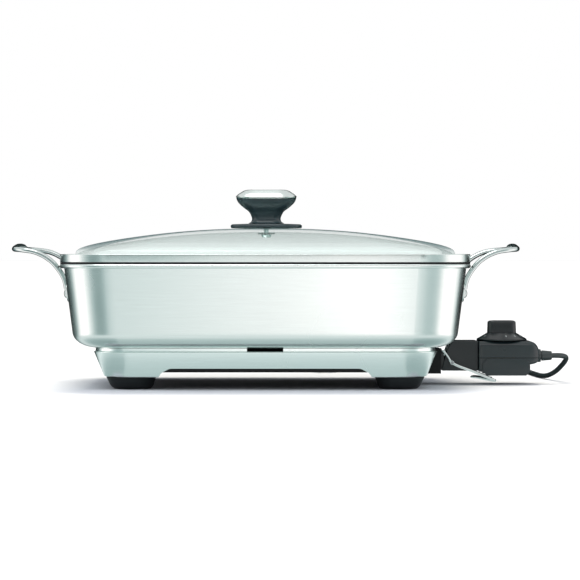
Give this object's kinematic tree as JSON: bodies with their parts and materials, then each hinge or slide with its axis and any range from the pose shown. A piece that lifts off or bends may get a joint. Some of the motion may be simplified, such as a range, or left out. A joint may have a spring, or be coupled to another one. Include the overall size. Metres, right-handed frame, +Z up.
{
  "type": "electric skillet",
  "caption": "Deep rectangular stainless electric skillet with a domed glass lift-off lid, wire side handles, skirted base and plug-in temperature probe with dial, release lever and mains cord.",
  "frame": {"origin": "on the surface that the feet stand on, under the middle of the skillet from the left handle's grip to the back of the probe, in the middle plane from front to back", "axes": "+X from the left handle towards the probe, +Y from the front of the pan to the back, +Z up"},
  "size_m": [0.5954, 0.5128, 0.2089],
  "materials": {
    "pan_steel": "satin brushed stainless steel",
    "polished_steel": "polished stainless steel",
    "dark_steel": "plain zinc-plated or oxidised steel",
    "aluminium": "cast aluminium, unfinished",
    "brass": "plated brass contacts",
    "black_plastic": "matt black heat-resistant plastic",
    "probe_plastic": "dark blue-grey moulded plastic, low sheen",
    "knob_plastic": "dark blue-grey moulded plastic, satin",
    "phenolic": "moulded phenolic",
    "foot_rubber": "matt black moulded rubber",
    "silicone": "translucent grey silicone",
    "cord_rubber": "dark grey flexible jacket",
    "lid_glass": "clear tempered glass"
  },
  "bodies": {
    "base": {"pan_shell": "pan_steel", "left_handle": "polished_steel", "right_handle": "polished_steel", "left_handle_front_rivet": "polished_steel", "left_handle_rear_rivet": "polished_steel", "right_handle_front_rivet": "polished_steel", "right_handle_rear_rivet": "polished_steel", "heat_spreader": "aluminium", "heating_element": "dark_steel", "front_terminal_pin": "brass", "rear_terminal_pin": "brass", "probe_sleeve": "aluminium", "terminal_shroud": "black_plastic", "base_skirt": "pan_steel", "base_tray": "black_plastic", "front_left_foot": "foot_rubber", "front_right_foot": "foot_rubber", "rear_left_foot": "foot_rubber", "rear_right_foot": "foot_rubber", "front_left_foot_screw": "dark_steel", "front_right_foot_screw": "dark_steel", "rear_left_foot_screw": "dark_steel", "rear_right_foot_screw": "dark_steel", "front_tray_bolt": "dark_steel", "rear_tray_bolt": "dark_steel"},
    "lid": {"lid_glass": "lid_glass", "lid_rim": "pan_steel", "lid_gasket": "silicone", "knob_base": "knob_plastic", "knob_body": "knob_plastic", "knob_cap": "polished_steel", "knob_screw": "dark_steel", "knob_washer": "silicone"},
    "probe": {"probe_neck": "probe_plastic", "probe_upper_housing": "probe_plastic", "probe_lower_housing": "probe_plastic", "sensor_rod": "polished_steel", "front_receptacle": "brass", "rear_receptacle": "brass", "thermostat_block": "phenolic", "contact_blade": "brass", "front_lever_pin": "dark_steel", "rear_lever_pin": "dark_steel", "release_spring": "dark_steel", "front_housing_screw": "dark_steel", "rear_housing_screw": "dark_steel", "strain_relief": "cord_rubber", "cord_run": "cord_rubber", "cord_coil": "cord_rubber", "cord_tail": "cord_rubber", "cord_tie": "black_plastic", "plug_body": "cord_rubber", "plug_left_pin": "brass", "plug_right_pin": "brass"},
    "dial": {"temperature_dial": "probe_plastic", "dial_spindle": "dark_steel"},
    "lever": {"release_lever": "polished_steel"}
  },
  "joints": [
    {"name": "lid_lift", "type": "slide", "parent": "base", "child": "lid", "axis": [0, 0, 1], "range_m": [0, 0.15]},
    {"name": "probe_pull", "type": "slide", "parent": "base", "child": "probe", "axis": [1, 0, 0], "range_m": [0, 0.12]},
    {"name": "dial_turn", "type": "hinge", "parent": "probe", "child": "dial", "pos_m": [0.2412, 0, 0.047], "axis": [0, 0, -1], "range_deg": [0, 290]},
    {"name": "lever_squeeze", "type": "hinge", "parent": "probe", "child": "lever", "pos_m": [0.1861, 0, 0.024], "axis": [0, -1, 0], "range_deg": [0, 4], "stiffness_Nm_per_rad": 0.6, "springref_deg": -5.73}
  ]
}
